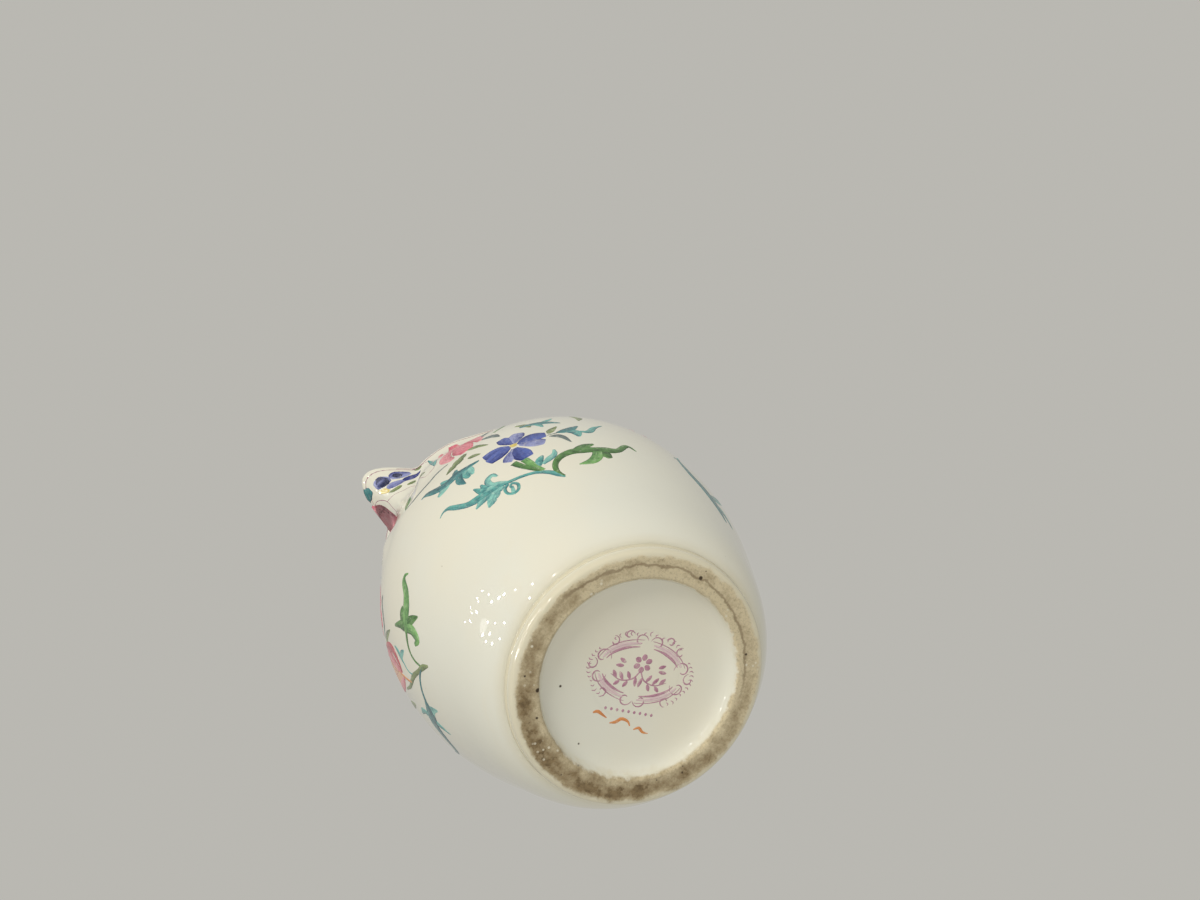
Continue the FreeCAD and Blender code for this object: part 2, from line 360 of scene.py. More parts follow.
def make_foot_material():
    """Glaze on both sides of the foot; the standing face is bare, worn and stained."""
    paint = Paint("bare_porcelain", IOR=1.5)
    x, y, z = paint.millimetres()
    out = paint.math("SQRT", x * x + y * y)
    ragged = paint.noise(2.8, 4.0, 0.65) * 2.2 - 1.1
    edge = out + ragged
    bare = (edge.ease(19.1, 19.7) * edge.ease(24.3, 23.5) * z.ease(1.3, 0.5)).clamped()

    # Dirt has gathered on one side of the foot and is rubbed off on the other.
    share = (x * 0.12 - y * 0.99) * (0.42 / 22) + 0.33
    clumps = paint.noise(3.4, 4.0, 0.7) * 2.3 - 1.15
    ring = edge.ease(20.0, 21.6) * edge.ease(24.0, 22.6)
    amount = (share + clumps + (ring * 0.45 - 0.25)).clamped()
    grime = paint.mix(amount, BARE_CLAY, DIRT)
    deep = amount + (paint.noise(1.6, 4.0, 0.7) * 1.4 - 0.7)
    grime = paint.mix(deep.ease(0.85, 1.35), grime, DEEP_DIRT)
    grime = paint.mix(paint.noise(0.5, 3.0, 0.8).ease(0.45, 0.75) * 0.42, grime, GRAIN)
    dots = paint.specks(1.7, 0.16) * paint.noise(5, 1.0).ease(0.56, 0.62)
    grime = paint.mix(dots * 0.8, grime, SOOT)
    line = abs(edge - (x * 0.041 + 21.8)).ease(0.42, 0.10) * y.ease(3.0, 11.0)
    grime = paint.mix(line * 0.6, grime, WORN_LINE)
    grime = paint.mix(paint.specks(1.25, 0.26) * paint.noise(7.5, 1.0).ease(0.58, 0.66), grime, GRIT)

    # The glaze beside the standing face has taken some of the dirt.
    rim_stain = edge.ease(22.5, 24.0) * z.ease(2.7, 0.6)
    groove = z.ease(2.1, 2.6) * out.ease(24.0, 24.8)
    inner = edge.ease(18.2, 19.4) * edge.ease(20.5, 19.6) * amount
    stain = paint.math("MAXIMUM", paint.math("MAXIMUM", rim_stain, groove), inner)
    glaze = paint.mix(stain * 0.6, glaze_colour(paint), POOLED)
    colour = paint.mix(bare, glaze, grime)
    plan = paint.combined(x, y)
    for spot_x, spot_y, size in SPOTS:
        offset = paint.node("ShaderNodeVectorMath", operation="DISTANCE")
        paint.link(plan, offset.inputs[0])
        offset.inputs[1].default_value = (spot_x, spot_y, 0)
        away = Value(paint, offset.outputs["Value"]) + ragged * 0.12
        colour = paint.mix(away.ease(size * 0.5 + 0.12, size * 0.5 - 0.12), colour, SPOT)
    paint.bump(paint.noise(0.35, 4.0, 0.8) * bare, 0.10)
    return paint.done(colour, bare * 0.75 + 0.12)


def make_enamel():
    """Overglaze enamel. Each stroke carries its light and its dark colour, the distance
    along it in millimetres, the place across it from -1 to 1, which side is the darker one,
    how strong its veins are, and how thin the colour lies."""
    paint = Paint("painted_enamel", Roughness=0.2, IOR=1.5)
    along, across, side, veins, thin, seed = (
        paint.field(name) for name in ("Along", "Across", "Side", "Veins", "Thin", "Seed"))
    light, dark = paint.field("Light", "Vector"), paint.field("Dark", "Vector")
    reach = abs(across)
    brush = paint.combined(along * 0.30, across * 2.6, seed)
    streaks = paint.noise(0.55, 3.0, 0.65, vector=brush)
    wash = paint.noise(1.3, 3.0, 0.6)

    tooth = paint.math("FRACT", along * 0.62 + reach * -0.85)
    ribs = abs(tooth - 0.5).ease(0.15, 0.02)
    drawn = paint.math("MAXIMUM", ribs, reach.ease(0.16, 0.03)) * veins
    edge = reach.ease(0.60, 1.0) * 0.8 + reach.ease(0.86, 0.96) * 0.9
    depth = across * side * 0.62 + 0.26 + edge * 0.50 + drawn * 0.40
    depth = (depth + (streaks * 1.5 - 0.72) + (wash * 1.3 - 0.65)).clamped()
    bald = (paint.noise(0.9, 3.0, 0.6).ease(0.50, 0.78) * thin * (depth * -1.0 + 1.0)).clamped()
    paint.bump(streaks, 0.03)
    return paint.done(paint.mix(bald, paint.mix(depth, light, dark), CREAM))


GLAZED = make_glaze()
FOOT = make_foot_material()
ENAMEL = make_enamel()


# ---------------- wall, rim, floor and recess

WALL_ENDS = 8.2                 # inside, the floor begins to round off at this height


def around_the_jug():
    """The turns of the wall's columns, close together round the pouring lip."""
    spans = ((-15, 15, 84), (15, 66, 60), (66, 294, 170), (294, 345, 60))
    return np.radians(np.concatenate([np.linspace(start, end, count, endpoint=False)
                                      for start, end, count in spans]))


def make_wall():
    """Body and lip as one skin: under the floor, up outside, over the rim and down inside."""
    turns = around_the_jug()
    half = WALL / 2
    rim_turn_height = rim_height(turns) - half
    share = np.concatenate([np.linspace(0, 0.09, 16)[:-1], np.linspace(0.09, 1, 96)])[:, None]
    z = FOOT_HEIGHT + (rim_turn_height - FOOT_HEIGHT) * share
    outside = surface(turns + 0 * z, z)

    top = outside[-1]
    out = surface_normal(turns, rim_turn_height)
    along_rim = surface(turns + 1e-3, rim_height(turns + 1e-3) - half) - top
    up = np.cross(out, along_rim)
    up /= np.linalg.norm(up, axis=-1, keepdims=True)
    up *= np.sign(up[:, 2:])
    rounding = [top - half * out + half * (math.cos(a) * out + math.sin(a) * up)
                for a in np.linspace(0, math.pi, 13)[1:-1]]

    z = rim_turn_height + (WALL_ENDS - rim_turn_height) * np.linspace(0, 1, 84)[:, None]
    spread = turns + 0 * z
    inside = surface(spread, z) - WALL * surface_normal(spread, z)
    start = (float(np.hypot(*inside[-1, -1, :2])), float(inside[-1, -1, 2]))
    floor = bspline([start, (26.3, 6.6), (22.5, 5.9), (15, 6.0), (7, 5.9), (0, 5.85)], 26)[1:]
    seat = [(0, 3.56), (8, 3.42), (16, 3.27), (24.7, 3.12)]

    rows = np.concatenate([turned_rows(seat[1:], turns), outside, np.array(rounding), inside,
                           turned_rows(floor[:-1], turns)])
    piece = closed_shell("glazed_wall", rows, seat[0][1], floor[-1][1], GLAZED)
    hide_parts("body", "pouring_lip")


# ---------------- the foot

RECESS_HEIGHT = 3.25
LID_MIDDLE = 3.48
# The recess from its middle to the standing face, as (radius, z).
RECESS = bspline([(0, RECESS_HEIGHT + 0.15), (7, RECESS_HEIGHT + 0.12), (12.5, RECESS_HEIGHT),
                  (16.6, 3.0), (18.6, 2.3), (19.25, 1.2), (19.5, 0.35), (19.95, 0.0),
                  (20.7, 0.0)], 60)


def make_foot():
    """The underside: a shallow recess, a worn flat standing face and a bead outside it."""
    face = [(r, 0.0) for r in np.linspace(20.7, 23.2, 12)[1:-1]]
    bead = bspline([(23.2, 0.0), (24.2, 0.0), (24.75, 0.35), (25.05, 1.1), (25.15, 2.0),
                    (24.95, 2.5), (24.9, 2.75), (25.1, 2.92), (25.4, 3.02)], 26)
    lid = [(24.6, 3.05), (16, 3.2), (8, 3.33)]      # hidden, under the body's floor
    path = np.vstack([RECESS[1:], face, bead, lid])
    turns = np.linspace(0, 2 * math.pi, 320, endpoint=False)
    rows = turned_rows(path, turns)
    # Finished by hand: the inside edge wanders, and the face is slightly uneven.
    wander = 0.16 * np.sin(2 * turns + 0.8) + 0.10 * np.sin(3 * turns + 2.1)
    low = path[:, 1] < 2.9
    weight = low * (1 - ease(path[:, 0], 19.6, 21.5)) * ease(path[:, 0], 16.0, 18.8)
    flat = low * ease(path[:, 0], 19.9, 20.4) * (1 - ease(path[:, 0], 23.2, 24.0))
    worn = 0.02 + 0.03 * (1 + np.sin(5 * turns + 0.4)) + 0.02 * RNG.random(rows.shape[:2])
    rows[..., :2] *= (1 + weight[:, None] * wander / 19.5)[..., None]
    rows[..., 2] += flat[:, None] * worn
    piece = closed_shell("turned_foot", rows, RECESS[0][1], LID_MIDDLE, FOOT)
    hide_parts("foot_ring")


# ---------------- the handle

# The middle line of the strap, as how far it is behind the axis, and z.
GRIP_LINE = [(39.0, 67.5), (45.5, 67.5), (50, 77), (60.5, 75.5), (61.5, 59.5), (52.5, 50.5),
             (47, 39), (40.9, 39)]
GRIP_HALF_WIDTH = 4.15
GRIP_HALF_THICKNESS = 2.75
SLIP_FILLET = 1.6
STRAP_BEGINS = 42.4             # nearer the axis than this, the ends run out on the wall


def wall_x(y, z):
    """Where the wall stands behind the handle, at a place beside its axis."""
    x = -38.0 + 0 * y
    for _ in range(6):          # each round brings x closer to the wall
        x = -np.sqrt(radius(np.arctan2(y, x), z) ** 2 - y * y)
    return x


def make_handle():
    """A bowed strap, slightly slimmer in the middle, whose ends run out on to the wall."""
    line = bspline(GRIP_LINE, 220)
    line = line[line[:, 0] > STRAP_BEGINS]
    around = np.linspace(0, 2 * math.pi, 48, endpoint=False)
    tangent = np.gradient(line, axis=0)
    tangent /= np.linalg.norm(tangent, axis=1, keepdims=True)
    rows = []
    for (x, z), (tx, tz), t in zip(line, tangent, np.linspace(0, 1, len(line))):
        slim = 1 - 0.07 * math.sin(math.pi * t)
        wide = GRIP_HALF_WIDTH * slim * np.cos(around)
        thick = GRIP_HALF_THICKNESS * slim * np.sin(around)
        # A soft ridge along the outside of the strap, where the thumb lies.
        thick = thick + 0.22 * np.maximum(np.sin(around), 0) ** 6
        rows.append(np.stack([-(x - tz * thick), wide, z + tx * thick], -1))

    def run_out(height, flip):
        """Rows from inside the wall to the strap, as a quarter-round fillet."""
        made = []
        for angle in np.linspace(0, math.pi / 2, 9):
            extra = SLIP_FILLET * (1 - math.sin(angle))
            y = (GRIP_HALF_WIDTH + extra) * np.cos(around)
            z = height + flip * (GRIP_HALF_THICKNESS + extra) * np.sin(around)
            if not made:
                made.append(np.stack([wall_x(y, z) + 0.7, y, z], -1))
            x = wall_x(y, z) + 0.06 - SLIP_FILLET * (1 - math.cos(angle))
            made.append(np.stack([x, y, z], -1))
        return made

    upper = run_out(GRIP_LINE[0][1], 1)
    lower = run_out(GRIP_LINE[-1][1], -1)
    rows = np.array(upper + rows + lower[::-1])
    columns = len(around)
    faces = grid_faces(len(rows), columns)
    last = (len(rows) - 1) * columns
    faces += [tuple(reversed(range(columns))), tuple(last + i for i in range(columns))]
    piece = new_mesh("handle_loop", rows.reshape(-1, 3), faces, GLAZED)
    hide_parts("handle", "handle_upper_joint", "handle_lower_joint")


make_wall()
make_foot()
make_handle()


# ---------------- painting

# Each pigment is its light wash, its dark stroke, and how full the brush is that lays it.
TEAL = ((0.135, 0.46, 0.41), (0.014, 0.08, 0.125), 1)
AQUA = ((0.27, 0.60, 0.52), (0.022, 0.14, 0.18), 1)
PETROL = ((0.06, 0.25, 0.26), (0.012, 0.05, 0.08), 1.15)
GREEN = ((0.11, 0.27, 0.07), (0.014, 0.05, 0.018), 1.22)
LIME = ((0.21, 0.45, 0.14), (0.022, 0.11, 0.03), 1.25)
OLIVE = ((0.25, 0.32, 0.13), (0.055, 0.085, 0.04), 1.12)
SLATE = ((0.15, 0.20, 0.19), (0.025, 0.04, 0.06), 1)
COBALT = ((0.075, 0.12, 0.43), (0.008, 0.016, 0.15), 1)
VIOLET = ((0.30, 0.33, 0.60), (0.020, 0.032, 0.20), 1)
NAVY = ((0.04, 0.06, 0.28), (0.005, 0.010, 0.08), 1)
PINK = ((0.82, 0.185, 0.25), (0.46, 0.04, 0.09), 1)
ROSE = ((0.82, 0.30, 0.34), (0.48, 0.03, 0.08), 1)
RED = ((0.55, 0.06, 0.09), (0.25, 0.01, 0.03), 1)
FOLD = ((0.92, 0.40, 0.45), (0.76, 0.18, 0.25), 1)
PEACH = ((0.82, 0.50, 0.30), (0.62, 0.22, 0.10), 1)
YELLOW = ((0.80, 0.66, 0.20), (0.48, 0.32, 0.06), 1)
PUCE = ((0.36, 0.12, 0.21), (0.22, 0.05, 0.12), 1)
STAMP = ((0.56, 0.32, 0.40), (0.34, 0.12, 0.21), 1)
STAMP_WASH = ((0.76, 0.62, 0.62), (0.66, 0.48, 0.52), 1)
ORANGE = ((0.78, 0.34, 0.12), (0.52, 0.15, 0.04), 1)

FILM = 0.035                    # how far a stroke stands proud in its middle
LAYER = 0.012                   # and how much more for each stroke under it
SUNK = 0.03
ROW_STEP = 0.38
COLUMN_STEP = 0.42
HAIRLINE = 0.25                 # thinner strokes than this are three points wide
THINNEST = 0.03
TOOTH_DEPTH = 0.3


def on_wall(sheet_x, sheet_z, height):
    turn = np.radians(sheet_x / SHEET_MM_PER_DEGREE)
    return surface(turn, sheet_z) + height[..., None] * surface_normal(turn, sheet_z)


class Brush:
    """Collects strokes for one painted piece. A stroke is a closed film of colour with its
    edges sunk into the glaze, and so follows the surface that it is painted on."""

    def __init__(self, lay=on_wall, degrees=True):
        self.lay = lay
        self.to_sheet = (SHEET_MM_PER_DEGREE, 1.0) if degrees else (1.0, 1.0)
        self.points, self.faces = [], []
        self.fields = {name: [] for name in
                       ("Along", "Across", "Side", "Veins", "Thin", "Seed", "Light", "Dark")}
        self.count = 0
        self.move = lambda points: points

    def stroke(self, spine, widths, pigment, side=0.0, veins=0.0, thin=0.35, layer=0,
               teeth=0, other=None):
        """widths are half widths in mm along the spine, to its left; other is to its right.
        layer is how many strokes lie under this one, and teeth is how many its edge has."""
        spine = self.move(np.asarray(spine, float)) * self.to_sheet
        length = np.linalg.norm(np.diff(spine, axis=0), axis=1).sum()
        widest = max(widths)
        rows = int(np.clip(length / ROW_STEP, 7, 90)) + 5 * teeth
        columns = 3 if widest < HAIRLINE else int(np.clip(widest * 2 / COLUMN_STEP, 5, 22)) | 1
        line = through(spine, rows)
        ahead = np.gradient(line, axis=0)
        ahead /= np.maximum(np.linalg.norm(ahead, axis=1, keepdims=True), 1e-9)
        aside = np.stack([-ahead[:, 1], ahead[:, 0]], -1)
        t = np.linspace(0, 1, rows)

        def profile(values):
            knots = np.linspace(0, 1, len(values))
            dense = through(np.stack([knots, values], -1), 200)
            made = np.maximum(np.interp(t, dense[:, 0], dense[:, 1]), THINNEST)
            if teeth:
                made = made * (1 - TOOTH_DEPTH * ease((t * teeth) % 1.0, 0.55, 1.0))
            return np.maximum(made, THINNEST)

        left = profile(widths)
        right = profile(other or widths)
        v = np.linspace(-1, 1, columns)
        v = np.sign(v) * np.abs(v) ** 0.8
        wide = np.where(v[None] > 0, left[:, None], right[:, None]) * v[None]
        light, dark, fullness = pigment
        wide *= fullness
        place = line[:, None] + wide[..., None] * aside[:, None]
        body = 1 - np.abs(v[None]) ** 6 * np.ones((rows, 1))
        body[0] = body[-1] = 0
        height = -SUNK + (FILM + SUNK + LAYER * layer) * body
        points = self.lay(place[..., 0], place[..., 1], height).reshape(-1, 3)
        start = sum(len(p) for p in self.points)
        self.points.append(points)
        self.faces += grid_faces(rows, columns, False, start)
        edge = columns - 1
        self.faces += [(start + j * columns, start + (j + 1) * columns,
                        start + (j + 1) * columns + edge, start + j * columns + edge)
                       for j in range(rows - 1)]
        self.faces += [tuple(start + i for i in reversed(range(columns))),
                       tuple(start + (rows - 1) * columns + i for i in range(columns))]
        steps = np.concatenate([[0], np.cumsum(np.linalg.norm(np.diff(line, axis=0), axis=1))])
        whole = np.ones((rows, columns))
        self.count += 1
        for name, value in (("Along", steps[:, None]), ("Across", v[None]), ("Side", side),
                            ("Veins", veins), ("Thin", thin), ("Seed", 3.7 * self.count)):
            self.fields[name].append((value * whole).ravel())
        for name, value in (("Light", light), ("Dark", dark)):
            self.fields[name].append(np.tile(value, (rows * columns, 1)))

    def finish(self, name):
        fields = {field: np.concatenate(values) for field, values in self.fields.items()}
        new_mesh(name, np.concatenate(self.points), self.faces, ENAMEL, fields)


def shifted(turn, rise=0.0, mirror=False, shrink=1.0, about=(40, 38)):
    """A move of the sheet: mirrored about a place, shrunk to it, then carried round and up."""
    def move(points):
        points = np.array(points, float)
        flip = -1.0 if mirror else 1.0
        points[:, 0] = about[0] + flip * shrink * (points[:, 0] - about[0]) + turn
        points[:, 1] = about[1] + shrink * (points[:, 1] - about[1]) + rise
        return points
    return move


def blue_flower(draw):
    """A blue flower with a yellow eye; each of its four petals has two lobes."""
    draw([(38, 41.2), (34, 42.1), (29, 42)], [0.3, 1.5, 1.8, 1.3], COBALT, 0.8, thin=0.2)
    draw([(38.1, 40.9), (34, 40.3), (29.4, 39.2)], [0.3, 1.8, 2.1, 1.4], COBALT, 0.9, thin=0.2, layer=1)
    draw([(38.5, 39.8), (36, 37.2), (33.8, 35.2)], [0.25, 1.1, 1.6, 1.1], VIOLET, -0.7, thin=0.6)
    draw([(38.9, 39.8), (39, 36.8), (40, 33.6)], [0.3, 1.9, 2.4, 1.7], COBALT, -0.9, thin=0.2, layer=1)
    draw([(40.2, 40.3), (44, 39.2), (48, 37.7)], [0.3, 1.6, 2.1, 1.2], VIOLET, 0.6, thin=0.5)
    draw([(40, 40.8), (44.5, 41.8), (49.8, 41.4)], [0.3, 1.6, 2.2, 1.3], COBALT, 0.8, thin=0.3, layer=1)
    draw([(39.2, 41.8), (38.2, 44.4), (37, 47.2)], [0.3, 1.4, 1.8, 1.1], COBALT, 0.7, thin=0.3)
    draw([(39.6, 41.8), (41.2, 44.4), (43.2, 47)], [0.3, 1.4, 2, 1.2], VIOLET, -0.7, thin=0.3, layer=1)
    draw([(37.8, 41.1), (39, 41.2), (40.2, 40.8)], [0.55, 1, 0.55], YELLOW, layer=3)
    eye = (39, 41)
    for x, y in ((32.6, 41.2), (45.6, 41.2), (38.9, 36.4), (39.6, 45.6), (35.2, 37.2),
                 (44.6, 39.4), (42, 44.4), (34, 42.6), (40.6, 37.2)):
        start = (eye[0] + 0.28 * (x - eye[0]), eye[1] + 0.28 * (y - eye[1]))
        draw([start, (x, y)], [0.17, 0.05], NAVY, layer=2, thin=0)


def blue_spray(draw):
    """The large spray: a blue flower between a teal acanthus leaf and a green one."""
    # The stem from its thorn to the acanthus leaf.
    draw([(46.3, 22.7), (44.8, 24.3), (42.5, 26), (39, 27.5), (35, 28.3), (31, 28.8), (27, 29.5)],
         [0.1, 0.9, 0.78, 0.62, 0.55, 0.6, 0.7], TEAL, 0.6, layer=1)
    draw([(46.2, 23), (45, 25.2), (45.8, 27.8), (48.5, 29.9), (52.5, 31), (57, 31), (61, 30.9)],
         [0.4, 0.6, 0.68, 0.85, 1.05, 1.2, 1], GREEN, -0.6, layer=1)
    draw([(41.4, 27), (40.2, 28.9), (39.5, 31.2), (38.6, 33.8)], [0.8, 0.85, 0.85, 0.9], LIME, 0.5, layer=1)
    draw([(41, 27.2), (38.6, 29.6), (36.6, 31.8), (35.2, 34.2)], [0.5, 0.65, 0.75, 0.8], GREEN, 0.7,
         layer=2)
    # The acanthus leaf: body, tip, lobes and the curls on both sides.
    draw([(7.6, 35.8), (9.6, 36.3), (11.6, 35.7), (13.6, 33.6), (16.5, 31.5), (20.5, 30.5), (25.5, 29.8),
          (29, 29.2)], [0.1, 0.35, 0.75, 1, 1, 1.2, 0.9, 0.4], TEAL, -0.5, 0.4, layer=1,
         other=[0.1, 0.3, 0.6, 0.8, 1, 1.6, 1.2, 0.4])
    draw([(26, 29.6), (21.5, 29.2), (17.2, 28.3)], [0.8, 1.3, 0.2], AQUA, 0.6, 0.4)
    draw([(28.5, 29), (24.5, 27.9), (20.6, 25.9)], [0.7, 1.3, 1.5, 0.35], AQUA, 0.5, 0.6, teeth=3)
    draw([(25.5, 30.3), (22.6, 31.4), (20.8, 34.4)], [0.9, 1.3, 0.9, 0.15], TEAL, 0.7, 0.4)
    draw([(24.6, 31), (23.6, 32.4), (23.4, 33.9)], [0.7, 0.8, 0.2], TEAL, 0.6)
    draw([(27.6, 29.8), (25.6, 31.6), (25.9, 33.6), (28, 34.1), (29, 32.6)], [0.9, 1, 0.85, 0.7, 0.3], AQUA,
         0.8, layer=2)
    draw([(22.8, 30.4), (26.4, 30.7), (30.6, 29)], [0.3, 1, 0.3], AQUA, -0.7, layer=2)
    draw([(29.4, 26.4), (30.1, 26.2), (30.8, 26.1)], [1, 1.35, 1], AQUA, 0.4)
    draw([(30.2, 28.5), (28.2, 27.6), (28, 25.9), (29.6, 24.9), (31.5, 25.3), (32.3, 26.8), (31, 27.9),
          (29.9, 27.2), (30.3, 26.2)], [0.5, 0.5, 0.42, 0.42, 0.46, 0.46, 0.42, 0.3, 0.15], TEAL, 0.6,
         layer=2)
    # The green leaf: upper lobe, tip, lower lobes and the curled one.
    draw([(53.5, 31.2), (57.2, 32.5), (61.4, 33.4)], [0.5, 0.95, 0.9, 0.3], GREEN, 0.7, 0.3)
    draw([(59.5, 31), (64, 30.6), (68, 30.8), (71.2, 33.1), (73, 33.5), (74.8, 31.6)],
         [0.9, 1.25, 0.8, 0.7, 0.45, 0.08], GREEN, -0.6, 0.4, layer=2)
    draw([(59.5, 30.8), (62.5, 29.2), (63.9, 27)], [1, 1.5, 1.2, 0.5], GREEN, 0.7, 0.4)
    draw([(61.2, 30.8), (60, 28.3), (57.2, 26.4), (52.4, 25.8)], [1.1, 1.2, 1, 0.1], LIME, -0.8, 0.3,
         layer=1)
    # A pair of small teal leaves.
    draw([(41.3, 28.9), (42.2, 30.8), (44.4, 32.6)], [0.4, 1.1, 1, 0.2], TEAL, -0.7)
    draw([(42.4, 29.2), (45.2, 30.4), (47.6, 31.6), (48.4, 33.6)], [0.4, 1, 0.8, 0.3], AQUA, -0.7, layer=1)
    # The upper teal leaf, left of the flower.
    draw([(7.2, 48.9), (9.4, 48.4), (12.2, 45.9), (15.5, 44), (19.8, 43.7), (24.5, 43.2), (28.2, 42.7)],
         [0.15, 0.6, 1, 1.2, 1.3, 0.75, 0.3], PETROL, 0.5, 0.4, layer=1)
    draw([(17, 43.8), (14.5, 43), (11.4, 42.3)], [0.9, 1.5, 1.2, 0.4], AQUA, -0.6)
    draw([(17, 44.2), (15.8, 45.4), (14.9, 46.9)], [0.8, 0.9, 0.2], TEAL, 0.7)
    draw([(21, 43.8), (20.1, 45), (21.3, 46.3)], [0.8, 0.9, 0.35], PETROL, 0.7)
    draw([(21.4, 43.4), (19.6, 40.6), (20.5, 37.7)], [0.9, 1.1, 0.85, 0.1], PETROL, 0.6)
    draw([(23, 43.2), (22.2, 40.8), (22.6, 38.9)], [0.9, 1.1, 0.5], TEAL, 0.4, layer=1)
    draw([(24.2, 43), (24.2, 41), (23.9, 39)], [0.8, 1, 0.35], AQUA, -0.5, layer=1)
    # Olive leaves over it.
    draw([(26.6, 50.8), (22.8, 49.2), (17.8, 47.6)], [0.5, 1.4, 1.3, 0.3], OLIVE, 0.6, 0.5, teeth=3)
    draw([(25.8, 47.4), (27.6, 46.6), (30, 45.2)], [0.2, 0.8, 0.7, 0.1], OLIVE, -0.6)
    draw([(27.6, 52.4), (30.4, 50.6), (33.6, 47.6)], [0.3, 0.9, 0.7, 0.1], OLIVE, 0.6, 0.4)
    draw([(33, 53.8), (36.4, 52.2), (38, 49.2)], [0.4, 1.2, 1, 0.15], SLATE, 0.6)
    # The cluster above and right of the flower.
    draw([(44.6, 50.4), (48.6, 50.3), (52.6, 49.6), (57, 47.4)], [0.5, 1.1, 1.1, 0.15], PETROL, 0.6, 0.4,
         layer=1)
    draw([(49.6, 50.6), (50.4, 48.6), (50.9, 46.3)], [0.8, 0.9, 0.15], TEAL, 0.5)
    draw([(44, 52.8), (46.6, 51), (47.6, 48.2)], [0.4, 1, 0.25], OLIVE, 0.6, 0.4)
    draw([(52, 50.2), (54.2, 51.4), (56.4, 52.9)], [0.7, 0.8, 0.15], TEAL, 0.6)
    # The bud and the leaves right of the flower.
    draw([(50.4, 41.4), (52, 43.2), (54.8, 45.4)], [0.3, 0.95, 0.8, 0.1], OLIVE, 0.6)
    draw([(49.4, 40.7), (52.5, 41), (56, 41.7)], [0.16, 0.2, 0.35], SLATE)
    draw([(52.6, 41.2), (56.6, 41.9), (61.2, 44.4)], [0.2, 1.1, 1.1, 0.1], PETROL, 0.7, 0.4, layer=1)
    draw([(55.4, 41.8), (58.4, 40.4), (58.6, 37.4)], [0.9, 1.5, 1.3, 0.3], TEAL, -0.6, 0.3)
    draw([(59.6, 40.6), (62.8, 40.3), (65.8, 43.2), (69.6, 45.6)], [0.4, 1, 0.7, 0.08], TEAL, -0.6, layer=1)
    draw([(49.8, 40.1), (53.2, 38.9), (55, 35)], [0.12, 0.95, 0.8, 0.1], SLATE, 0.6)
    draw([(63, 55.6), (64.6, 52.4), (63.2, 48.8)], [0.3, 1, 0.12], OLIVE, 0.5)


